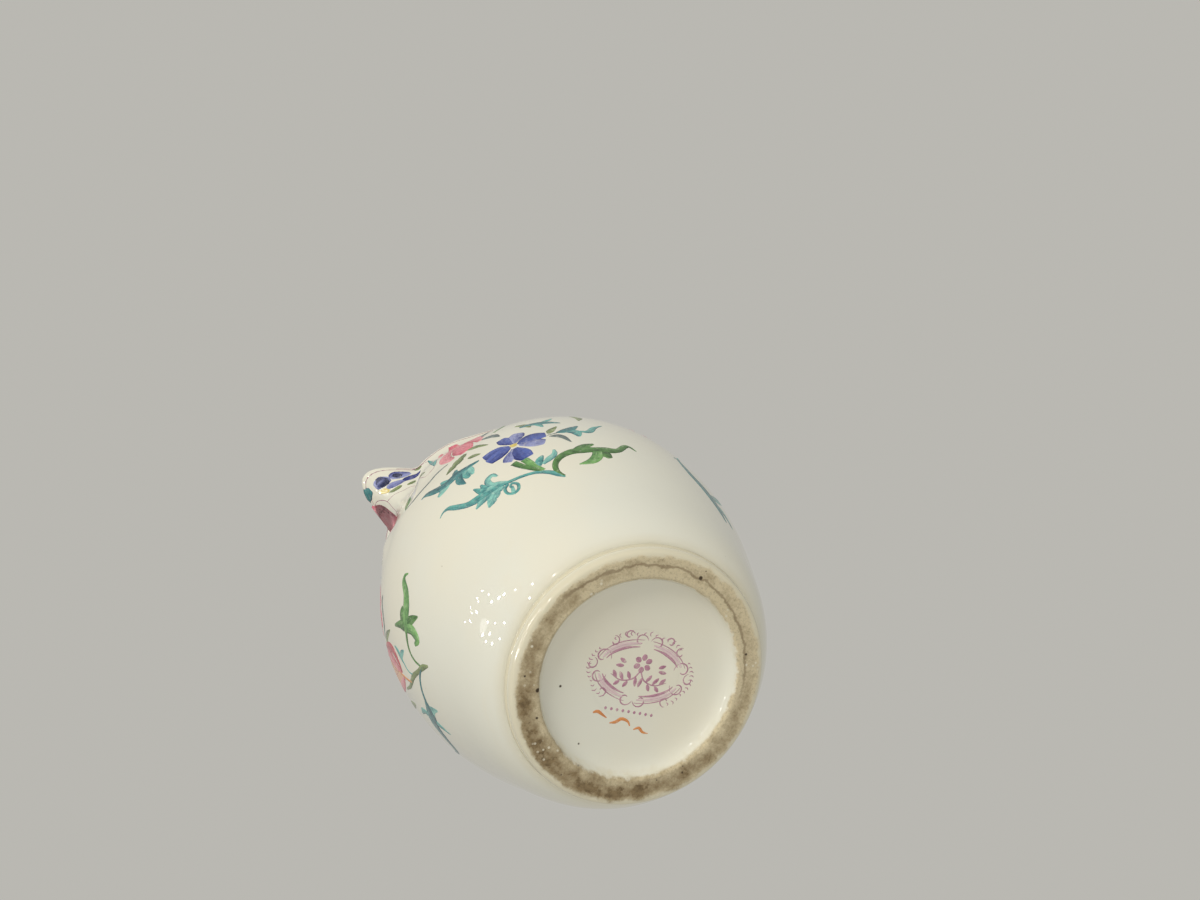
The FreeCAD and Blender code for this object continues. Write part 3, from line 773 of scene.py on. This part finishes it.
def red_spray(draw):
    """The smaller spray: a red and orange flower, seen from the side, over green stems."""
    draw([(-11.3, 36.9), (-12.8, 38.2), (-14.6, 37.9), (-17, 35.6), (-20.5, 34.4), (-24.5, 34),
          (-28.5, 33.2)], [0.1, 0.45, 0.8, 1.1, 1.3, 1.2, 0.6], LIME, 0.5, 0.4, layer=1)
    draw([(-26.5, 33.2), (-27, 36.2), (-29, 39.9)], [1, 1.1, 0.7, 0.25], GREEN, 0.8, layer=1)
    draw([(-26.5, 35.2), (-23.5, 36.2), (-20.9, 36)], [0.8, 0.9, 0.2], GREEN, 0.5)
    draw([(-26.5, 33), (-26, 30.6), (-27.8, 28.2), (-30.2, 29.4)], [1, 1.1, 0.9, 0.35], LIME, -0.7, layer=2)
    draw([(-25.5, 33.2), (-23, 31.2), (-20.6, 28.7)], [1.2, 1.2, 0.8, 0.15], GREEN, 0.6, 0.4)
    draw([(-27.4, 33.4), (-32.4, 32.2), (-35.2, 30), (-36, 27.4)], [0.6, 0.4, 0.35, 0.3], GREEN, 0.7)
    draw([(-34.2, 24), (-35.8, 26.3), (-38.5, 28.8), (-41.6, 31.8), (-45, 34.2), (-47.6, 36.4),
          (-50.2, 40.2)], [0.25, 0.75, 0.6, 0.7, 0.6, 0.45, 0.25], OLIVE, 0.6, 0.2, layer=1)
    draw([(-40.9, 30.8), (-41, 34), (-38.6, 36.6)], [0.25, 0.25, 0.4], TEAL, 0.6)
    draw([(-39.4, 36), (-37.2, 38.2), (-35.8, 41)], [0.3, 0.8, 0.7, 0.15], TEAL, 0.6)
    draw([(-39, 36.8), (-36.6, 36.6), (-34.4, 34.7)], [0.3, 0.9, 0.15], AQUA, 0.6, layer=1)
    # The flower: back petals, the orange heart and two front petals that fold outwards.
    draw([(-45.2, 39), (-47.6, 45), (-49.2, 51.8)], [0.9, 3, 3.8, 2], PEACH, 0.4, thin=0.3)
    draw([(-44.2, 39.2), (-43.2, 45), (-42.6, 51.6)], [0.8, 2, 2.4, 1.4], ROSE, -0.8, thin=0.4)
    draw([(-44.8, 38), (-49, 41.6), (-53.2, 46.2), (-57.2, 52)], [0.4, 1.2, 1.3, 0.3], ROSE, 0.9, layer=1)
    draw([(-44, 38.8), (-40.6, 40.2), (-38.4, 43.4), (-39.6, 48.2), (-41.6, 51.4)], [0.5, 1.1, 1.3, 1, 0.2],
         RED, 0.7, layer=1)
    draw([(-44.4, 33.4), (-44.9, 36.6), (-44.6, 41.8)], [0.3, 0.4, 0.25], ORANGE, 0.5, layer=2)
    for end in ((-51.4, 51.5), (-47.5, 52.4), (-44.0, 52.0)):
        draw([(-45, 41.5), (0.5 * (end[0] - 46.2), 47), end], [0.12, 0.16, 0.05], RED, layer=2, thin=0.5)
    # Blades and leaves round it.
    draw([(-55, 38.8), (-58.2, 43.6), (-62.4, 48.8)], [0.3, 1.1, 1, 0.15], OLIVE, 0.6, 0.3)
    draw([(-39, 48.9), (-35.8, 47), (-32, 43.2)], [0.2, 1, 0.8, 0.1], OLIVE, 0.6, 0.4)
    draw([(-38.6, 50.4), (-33, 49.4), (-27.2, 51.4), (-24.6, 50.8)], [0.3, 0.9, 0.8, 0.2], SLATE, 0.5, 0.3)
    # The lower branch and its dark teal leaf.
    draw([(-35.6, 26.6), (-39.6, 28.3), (-44.6, 29.2), (-50, 29.2)], [0.3, 0.35, 0.42, 0.6], PETROL, 0.5,
         layer=1)
    draw([(-49, 29.2), (-53.5, 29.4), (-58.5, 30.8), (-64, 30.4), (-69, 30.6), (-73, 33.2), (-75.4, 37.8)],
         [0.6, 1.7, 1.7, 1.3, 0.9, 0.6, 0.1], PETROL, 0.5, 0.6, layer=1)
    draw([(-55.5, 30.6), (-54.8, 33.6), (-57.2, 36.2)], [1.1, 1.1, 0.3], TEAL, 0.6, 0.3)
    draw([(-54, 29.2), (-51.6, 27.6), (-50.4, 24.6)], [1.2, 1.4, 0.9, 0.2], AQUA, 0.6, 0.4)
    draw([(-57, 29.6), (-58, 27.4), (-60, 24.4)], [1.1, 1.2, 0.8, 0.2], TEAL, -0.5, 0.4)


def side_leaf(draw):
    """A slender dark leaf with a forked base, on the back of the right side."""
    draw([(92.2, 39.2), (94.2, 39.4), (95, 36.4), (97, 33), (101, 30), (105, 26.6), (108.8, 21.4)],
         [0.15, 0.5, 0.9, 1.3, 1.7, 1.6, 0.2], PETROL, 0.6, 0.5, layer=1)
    draw([(96.4, 43.4), (94.9, 40.4), (94.9, 37.4)], [0.1, 0.6, 0.4], TEAL, 0.5)
    draw([(102.6, 28.6), (107.4, 30.8), (112.2, 35.2), (116.6, 41.4)], [0.6, 1.3, 1, 0.15], TEAL, 0.6, 0.4)
    draw([(105.4, 27), (109.4, 26.2), (113.4, 22.6)], [0.8, 1.3, 0.2], TEAL, -0.6, 0.3)


def neck_spray(draw):
    """A pink flower with petals up and down, between the shoulder and the rim, and leaves."""
    for spine, widths, side, layer in (
            ([(26.2, 63.2), (22.6, 66), (20.6, 70), (21, 73.8)], [0.4, 1.5, 1.9, 1.3, 0.5], -0.7, 0),
            ([(26.8, 63.2), (30.4, 66), (32.2, 70), (31.6, 73.8)], [0.4, 1.5, 1.9, 1.3, 0.5], 0.7, 0),
            ([(26.5, 62.5), (26.5, 69), (26.4, 74.8)], [0.5, 1.8, 2.3, 1.2], 0.5, 1),
            ([(26.2, 64), (22.4, 61.4), (20.8, 57.4), (22.6, 53)], [0.4, 1.4, 1.8, 1.5, 0.7], 0.7, 0),
            ([(26.8, 64), (30.8, 61.4), (32.8, 57.4), (32.4, 53.4)], [0.4, 1.4, 1.9, 1.5, 0.6], -0.7, 0),
            ([(26.5, 64.5), (26.9, 58), (27.6, 52)], [0.5, 2, 2.8, 1.7], -0.5, 1)):
        draw(spine, widths, PINK if layer else ROSE, side, thin=0.3, layer=layer)
        root, tip = np.array(spine[0]), np.array(spine[-1])
        for aside in (-1.1, 0.0, 1.1):
            draw([root + 0.3 * (tip - root) + (0.4 * aside, 0), root + 0.9 * (tip - root) + (aside, 0)],
                 [0.05, 0.17, 0.05], RED, layer=2, thin=0.3)
    draw([(25.2, 63.6), (26.5, 64.2), (27.8, 63.6)], [0.3, 0.8, 0.3], YELLOW, layer=3)
    draw([(17.2, 59.6), (17.7, 64), (17, 70), (16.4, 75.2)], [0.3, 1.2, 1.1, 0.2], TEAL, 0.6, 0.3)
    draw([(13.8, 61), (11.2, 63.6), (10.4, 66.8)], [0.15, 0.7, 0.1], OLIVE, 0.5)
    draw([(33.8, 56), (36.6, 60), (38, 66)], [0.3, 1.1, 0.9, 0.12], SLATE, 0.6, 0.3)
    draw([(37.6, 54.6), (42, 58.2), (43.6, 63.6), (42.2, 69.6)], [0.3, 0.4, 0.42, 0.1], GREEN, 0.6)
    draw([(43.4, 62.2), (47.6, 65), (49.6, 69.4)], [0.2, 1.1, 0.12], TEAL, 0.6, 0.4)


def lip_stem(draw):
    """A long grey stem with one leaf, where the lip grows out of the body."""
    draw([(0.8, 54.2), (4.5, 53.3), (8, 53), (12.5, 52.7), (16, 53.2), (20.8, 52.7)],
         [0.12, 0.36, 0.45, 0.5, 0.55, 0.2], SLATE, 0.5)
    draw([(1.6, 54.2), (3.4, 56.4), (4.8, 59.4)], [0.25, 1, 0.85, 0.1], GREEN, 0.6, 0.3)


def lip_painting(draw):
    """A small blue flower and leaves on the front of the pouring lip, and a red fold."""
    draw([(4.4, 75), (2, 75.1), (-1.1, 75.6)], [0.5, 1.35, 1.3, 0.5], VIOLET, 0.7)
    draw([(3.9, 74.9), (6.4, 75.2), (9.6, 75.4)], [0.4, 1.2, 1.1, 0.3], VIOLET, 0.8, layer=1)
    draw([(0.9, 73.3), (3.8, 72.9), (7, 73.3)], [0.4, 1.1, 0.9, 0.3], VIOLET, -0.6)
    draw([(5.8, 73), (9, 73.9), (12.4, 74.8)], [0.4, 0.85, 0.6, 0.1], NAVY, 0.5, layer=1)
    draw([(-1.4, 74.6), (0.2, 73.3), (1.2, 72)], [0.3, 0.8, 0.3], YELLOW, thin=1)
    draw([(-1.6, 76.2), (-3.6, 77), (-5.7, 77.7)], [0.3, 0.75, 0.7, 0.25], PETROL, 0.6)
    draw([(5, 71.7), (2.6, 71.3), (0.3, 72.1)], [0.2, 0.6, 0.5, 0.12], OLIVE, 0.5)
    draw([(8.8, 72.2), (7.4, 71.5), (5.6, 71)], [0.12, 0.5, 0.15], OLIVE, 0.5)
    draw([(10.6, 75.9), (12.2, 75.7), (13.8, 75.4)], [0.12, 0.5, 0.12], OLIVE, 0.5)
    draw([(-9.4, 77.9), (-8.6, 74.4), (-8.2, 70.5), (-8, 66), (-7.6, 61)], [1.5, 3.1, 2.6, 2.2, 0.8], FOLD,
         0.25, thin=0.2)
    draw([(-6.6, 77.2), (-5, 73.6), (-5.2, 70), (-5, 66), (-5.6, 61.5)], [0.08, 0.22, 0.28, 0.26, 0.10],
         RED, 0.4, thin=0.3, layer=1)
    for turn in (-7.4, -9.2, -11.0):
        draw([(turn + 0.9, 76.6), (turn, 72), (turn + 0.6, 64)], [0.06, 0.16, 0.06], RED, layer=1, thin=0.5)


def fine_lines(draw):
    """Hairlines in puce: one under the rim, open above the handle, and two that frame the lip."""
    turns = np.arange(-176, 177, 4.0)
    for part in (turns[:30], turns[29:60], turns[59:]):
        draw([(t, float(rim_height(math.radians(t))) - 1.35 + 0.1 * math.sin(t / 3)) for t in part],
             [0.11, 0.11], PUCE, thin=0.4)
    draw([(-2.6, 72), (-0.8, 71), (1.5, 70.2), (3.8, 69.5), (7, 69.6), (9.8, 66), (11.6, 60.5),
          (13.4, 58.2), (16.8, 59.2), (18.8, 63), (18.8, 70), (16.6, 74.4), (12, 76.2), (7, 76.9)],
         [0.10, 0.12, 0.12, 0.10], PUCE, thin=0.5)
    draw([(-6.4, 76.9), (-4, 75.2), (-2.3, 72.2), (-2.8, 69.4), (-2.9, 66), (-2.8, 60)],
         [0.06, 0.12, 0.12, 0.06], PUCE, thin=0.5)


def painted(name, *parts):
    """One painted piece; each part is a motif and where it goes on the jug."""
    brush = Brush()
    for motif, move in parts:
        brush.move = move
        motif(brush.stroke)
    brush.finish(name)


AS_DRAWN = shifted(0)
painted("front_spray", (blue_spray, AS_DRAWN), (blue_flower, AS_DRAWN))
painted("left_spray", (red_spray, AS_DRAWN))
painted("right_spray", (side_leaf, AS_DRAWN),
        (red_spray, shifted(182, 1.0, True, 0.9, (-40, 36))))
AT_THE_BACK = shifted(-168, shrink=0.95)
painted("rear_spray", (blue_spray, AT_THE_BACK), (blue_flower, AT_THE_BACK))
painted("neck_painting", (neck_spray, AS_DRAWN), (neck_spray, shifted(-86, 0, True)),
        (neck_spray, shifted(62)), (neck_spray, shifted(-148, 0, True)), (neck_spray, shifted(112)))
painted("lip_painting", (lip_painting, AS_DRAWN), (lip_stem, AS_DRAWN))
painted("rim_lines", (fine_lines, AS_DRAWN))


# ---------------- the mark under the foot

MARK_RIGHT = np.array([-0.971, 0.2395])
MARK_UP = np.array([0.2395, 0.971])
MARK_CENTRE = np.array([-0.7, 0.8])


def under_foot(sheet_x, sheet_y, height):
    xy = MARK_CENTRE + sheet_x[..., None] * MARK_RIGHT + sheet_y[..., None] * MARK_UP
    r = np.hypot(xy[..., 0], xy[..., 1])
    z = np.interp(r, RECESS[:, 0], RECESS[:, 1]) - height
    return np.concatenate([xy, z[..., None]], -1)


def make_mark():
    """An unlettered ornament in puce: a scrolled frame with a sprig in the middle."""
    brush = Brush(under_foot, degrees=False)
    draw = brush.stroke

    def at(wide, high, angle, cx=0.0, cy=0.0):
        """A place on an ellipse round a centre; the angle is in radians."""
        return cx + wide * math.cos(angle), cy + high * math.sin(angle)

    def ring(wide, high, start, end, widths, pigment=STAMP, layer=1):
        angles = np.radians(np.linspace(start, end, 14))
        draw([at(wide, high, a) for a in angles], widths, pigment, layer=layer, thin=0.5)

    def scroll(cx, cy, size, start, sweep):
        angles = np.radians(start + np.linspace(0, sweep, 12))
        sizes = size * np.linspace(1, 0.3, 12)
        draw([at(s, s, a, cx, cy) for a, s in zip(angles, sizes)], [0.08, 0.22, 0.24, 0.10], STAMP,
             layer=1, thin=0.5)

    # The frame: four broken scrolls, each a pale band between two lines, with a hairline in it.
    for start, end in ((22, 84), (98, 166), (196, 258), (274, 342)):
        ring(8.6, 5.5, start, end, [0.2, 0.62, 0.2], STAMP_WASH, 0)
        ring(9.3, 6.2, start - 3, end + 3, [0.08, 0.20, 0.10])
        ring(8.6, 5.5, start + 8, end - 8, [0.05, 0.13, 0.05])
        ring(7.9, 4.8, start + 2, end - 2, [0.09, 0.34, 0.09])
    for flip in (-1, 1):
        for cx, cy, size, start, sweep in (
                (8.3, 1.7, 1.8, 200, -330), (8.3, -1.9, 1.7, 160, 330), (10.1, 0.0, 1.3, 90, 320),
                (1.7, 5.9, 1.5, 180, -320), (1.5, -5.6, 1.5, 180, 320), (6.9, 4.9, 1.2, 60, 300),
                (6.6, -4.9, 1.2, -60, -300), (4.3, 6.6, 1.1, 180, -320)):
            turned = start if flip > 0 else 180 - start
            scroll(flip * cx, cy, size, turned, flip * sweep)
    # Shell work outside it: short curled strokes in fans, left, right and above.
    wide, high = 10.0, 6.9
    for middle, count in ((0, 9), (180, 9), (62, 5), (118, 5), (90, 3), (-40, 3), (-140, 3)):
        for number in range(count):
            a = math.radians(middle + 6.5 * (number - (count - 1) / 2))
            reach = 0.5 + 0.7 * math.sin(math.pi * (number + 0.5) / count)
            draw([at(wide + part * reach, high + part * reach, a + curl)
                  for part, curl in ((0, 0), (0.6, 0.03), (1, -0.02))], [0.06, 0.20, 0.07], STAMP,
                 thin=0.9)
    # The sprig: a six-petalled flower, and leaves in pairs along two stems.
    for petal in range(6):
        a = math.radians(90 + 60 * petal)
        draw([at(0.5, 0.5, a, 0, 1.6), at(2, 2, a, 0, 1.6)], [0.2, 0.7, 0.25], STAMP, veins=0.6, thin=0.7)
    for flip in (-1, 1):
        draw([(0, 0.2), (flip * 1.2, -1.6), (flip * 3.6, -2.2), (flip * 6, -1.2)], [0.2, 0.24, 0.2, 0.08],
             STAMP, layer=1, thin=0.4)
        for x, y, dx, dy in ((1.6, -1.9, 1, 1.7), (3, -2.2, 1.2, 1.7), (4.4, -2, 1.2, 1.6),
                             (2, -2.1, 0.8, -1.5), (3.6, -2.3, 1.2, -1.1), (0.7, -1, -0.4, -2.2),
                             (3.3, 1.2, 1.6, 0.8), (3.5, 0.6, 1.9, -0.1)):
            draw([(flip * x, y), (flip * (x + dx), y + dy)], [0.12, 0.48, 0.08], STAMP, veins=0.6, thin=0.7)
    # A row of small lozenges below the frame.
    for number in range(9):
        cx, cy = -4.8 + 1.2 * number, -8.0
        draw([(cx - 0.32, cy), (cx + 0.32, cy)], [0.08, 0.42, 0.08], STAMP, thin=0.5)
    # A painter's flourish under it.
    draw([(-7.2, -9.4), (-6.2, -8.9), (-5, -9.4), (-3.8, -10)], [0.15, 0.42, 0.3, 0.1], ORANGE, thin=0.5)
    draw([(-3.4, -10.8), (-2, -10.4), (-1, -9.6), (0.4, -9.9), (1.2, -10.9)], [0.1, 0.4, 0.42, 0.3, 0.1],
         ORANGE, thin=0.5)
    draw([(1.8, -11.4), (3, -10.8), (4, -11.5), (5.4, -11.6)], [0.1, 0.36, 0.3, 0.06], ORANGE, thin=0.7)
    brush.finish("foot_ornament")


make_mark()


# ---------------- stage, light and camera

CAMERA_PLACE = (99.94, 34.66, -178.83)      # millimetres; the rest of the stage is in metres
FLOOR_HALF = 3.0
FLOOR_DROP = 0.0002


def make_floor():
    """A pale floor under the foot. From below it can't be seen, as the camera is there."""
    paint = Paint("pale_floor", Roughness=0.85)
    dust = paint.noise(60, 3.0).ease(0.3, 0.7)
    paint.done(paint.mix(dust, (0.72, 0.72, 0.71, 1), (0.6984, 0.6984, 0.6887, 1)))
    see_through = paint.node("ShaderNodeBsdfTransparent")
    behind = paint.node("ShaderNodeNewGeometry").outputs["Backfacing"]
    choice = paint.node("ShaderNodeMixShader")
    paint.link(behind, choice.inputs[0])
    paint.link(paint.shader.outputs[0], choice.inputs[1])
    paint.link(see_through.outputs[0], choice.inputs[2])
    paint.link(choice.outputs[0], paint.tree.nodes["Material Output"].inputs["Surface"])
    mesh = bpy.data.meshes.new("floor")
    mesh.from_pydata([(x * FLOOR_HALF, y * FLOOR_HALF, 0)
                      for x, y in ((-1, -1), (1, -1), (1, 1), (-1, 1))], [], [(0, 1, 2, 3)])
    mesh.materials.append(paint.material)
    floor = new_object("floor", mesh)
    floor.location.z = -FLOOR_DROP
    for ray in ("shadow", "diffuse", "glossy", "transmission"):
        setattr(floor, f"visible_{ray}", False)


JUG_MIDDLE = Vector((0, 0, 0.04))


def add_area(name, direction, distance, size, power, colour=(1, 1, 1)):
    """A round lamp that faces the middle of the jug from a direction."""
    light = bpy.data.lights.new(name, "AREA")
    light.shape = "DISK"
    light.size = size
    light.energy = power
    light.color = colour
    lamp = new_object(name, light)
    toward = Vector(direction).normalized()
    lamp.location = JUG_MIDDLE + toward * distance
    lamp.rotation_mode = "QUATERNION"
    lamp.rotation_quaternion = (-toward).to_track_quat("-Z", "Y")
    return lamp


LAMP_DISTANCE = 1.6
SPARK_POWER = 170               # for a lamp one metre across
NEAR_FOOT = 9                   # below it the wall bends sharply, and needs stronger lamps
# Places on the wall, degrees round and height, where the photograph shows a spark.
SPARKS = [(22, 3.4), (13.8, 4.5), (8, 6), (13.7, 3.5), (0, 11.7), (4, 7.2), (0.4, 10), (1.8, 7.7),
          (-2.9, 11.8), (-3.7, 11.2), (-0.8, 8.6), (-6.7, 12.2), (-6.8, 10.6), (-8, 11.5),
          (-10.8, 11.4), (-7.2, 7.5), (-6.1, 6.1), (-12.2, 12.3), (-10.5, 6.3), (-12.2, 7.6),
          (-13.7, 6.6), (-13.1, 5.4), (-10.4, 4.5), (-4.3, 4.7), (9.2, 3.6)]


def mirrored(turn, z):
    """The direction that the camera sees reflected at a place on the wall."""
    place = surface(np.radians(turn), np.float64(z))
    normal = surface_normal(np.radians(turn), np.float64(z))
    toward = np.array(CAMERA_PLACE) - place
    toward /= np.linalg.norm(toward)
    return tuple(2 * (normal @ toward) * normal - toward)


def make_lights():
    for name, direction, size, power, colour in (
            ("key", (0.87, 0.36, -0.34), 0.45, 5.15, (1.0, 0.985, 0.94)),
            ("overhead", (-0.1, 0.1, 1.0), 0.8, 6.0, (1.0, 0.98, 0.95)),
            ("front", (0.3, -0.3, -1.0), 0.8, 1.25, (1.0, 0.96, 0.88))):
        add_area(name, direction, 1.0, size, power, colour).visible_glossy = False
    # Small shop lamps, which show as sparks in the glaze, and the soft glow round them.
    for number, (turn, z) in enumerate(SPARKS):
        size_gain, power_gain = (1.0, 1.0) if z > NEAR_FOOT else (1.5, 6.0)
        size = (0.012 + 0.014 * RNG.random()) * size_gain
        power = SPARK_POWER * size ** 2 * power_gain
        spark = add_area(f"spark_{number}", mirrored(turn, z), LAMP_DISTANCE, size, power)
        spark.visible_diffuse = False
    add_area("glow", mirrored(-9.5, 8.0), LAMP_DISTANCE, 0.22, 0.22)
    world = bpy.data.worlds.new("studio")
    world.use_nodes = True
    background = world.node_tree.nodes["Background"]
    background.inputs["Color"].default_value = (0.49, 0.48, 0.445, 1)
    background.inputs["Strength"].default_value = 1.0
    bpy.context.scene.world = world


def make_camera():
    """Where the photograph was taken from: below the foot, to the side of the lip."""
    data = bpy.data.cameras.new("camera")
    data.sensor_width = 36.0
    data.lens = 33.0
    data.clip_start, data.clip_end = 0.01, 20
    camera = new_object("camera", data)
    right = Vector((-0.8119, 0.4912, -0.3153))
    view = Vector((-0.3654, -0.0064, 0.9309)).normalized()
    up = right.cross(view).normalized()
    right = view.cross(up)
    turn = Matrix((right, up, -view)).transposed()
    camera.matrix_world = Matrix.Translation(Vector(CAMERA_PLACE) * MM) @ turn.to_4x4()
    bpy.context.scene.camera = camera


make_floor()
make_lights()
make_camera()
bpy.context.scene.view_settings.view_transform = "Standard"
